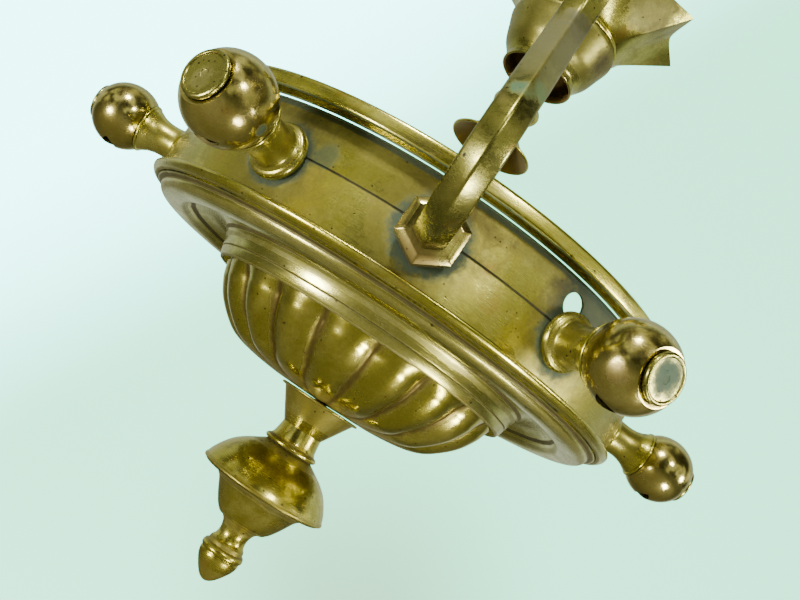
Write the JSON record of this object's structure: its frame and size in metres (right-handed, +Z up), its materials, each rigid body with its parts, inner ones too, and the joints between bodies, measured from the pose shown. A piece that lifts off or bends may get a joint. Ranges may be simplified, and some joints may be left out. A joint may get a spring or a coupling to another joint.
{
  "type": "multi arm chandelier",
  "caption": "Hanging brass gas chandelier with a round drum, ball outlets, a tall bent arm with a turning cock, a fluted bowl, a turned finial and a star crown.",
  "frame": {"origin": "middle of the ceiling plate's flat top face", "axes": "+Z up along the stem, -Y towards the fitted arm"},
  "size_m": [0.4022, 0.5013, 0.6054],
  "materials": {
    "aged_brass": "aged, brushed, with brown patina in the recesses",
    "patinated_brass": "dark, dull",
    "bright_brass": "pale, worn bright"
  },
  "bodies": {
    "frame": {"arm_nut": "aged_brass", "arm_tube": "aged_brass", "ball_1": "aged_brass", "ball_2": "aged_brass", "ball_3": "aged_brass", "ball_4": "aged_brass", "ball_5": "aged_brass", "ball_6": "aged_brass", "ball_cap_1": "bright_brass", "ball_cap_2": "bright_brass", "ball_cap_3": "bright_brass", "ball_cap_4": "bright_brass", "ball_cap_5": "bright_brass", "ball_cap_6": "bright_brass", "ball_neck_1": "aged_brass", "ball_neck_2": "aged_brass", "ball_neck_3": "aged_brass", "ball_neck_4": "aged_brass", "ball_neck_5": "aged_brass", "ball_neck_6": "aged_brass", "ball_nut_1": "patinated_brass", "ball_nut_2": "patinated_brass", "ball_nut_3": "patinated_brass", "ball_nut_4": "patinated_brass", "ball_nut_5": "patinated_brass", "ball_nut_6": "patinated_brass", "ceiling_plate": "patinated_brass", "cock_body": "aged_brass", "crown_lock_nut": "patinated_brass", "crown_ring": "aged_brass", "drum_astragal": "aged_brass", "drum_wall": "aged_brass", "end_nipple": "bright_brass", "feed_pipe_1": "patinated_brass", "feed_pipe_2": "patinated_brass", "feed_pipe_3": "patinated_brass", "finial_acorn": "aged_brass", "finial_cup": "aged_brass", "finial_dome": "aged_brass", "finial_neck": "aged_brass", "fluted_bowl": "aged_brass", "gas_hub": "patinated_brass", "lower_pan": "aged_brass", "seat_nipple_2": "patinated_brass", "seat_nipple_3": "patinated_brass", "seat_nut_2": "aged_brass", "seat_nut_3": "aged_brass", "star_crown": "bright_brass", "stem_coupling": "aged_brass", "stem_pipe": "patinated_brass", "tie_rod": "patinated_brass", "top_rim": "aged_brass", "upper_slip_bell": "aged_brass"},
    "canopy": {"ceiling_canopy": "aged_brass"},
    "slip_bell": {"lower_slip_bell": "aged_brass"},
    "key": {"cock_key": "bright_brass", "key_screw": "patinated_brass"}
  },
  "joints": [
    {"name": "canopy_slide", "type": "slide", "parent": "frame", "child": "canopy", "axis": [0, 0, -1], "range_m": [0, 0.06]},
    {"name": "slip_bell_slide", "type": "slide", "parent": "frame", "child": "slip_bell", "axis": [0, 0, 1], "range_m": [0, 0.018]},
    {"name": "cock_key_turn", "type": "hinge", "parent": "frame", "child": "key", "pos_m": [0, -0.3066, -0.26986], "axis": [0, -1, 0], "range_deg": [0, 90]}
  ]
}
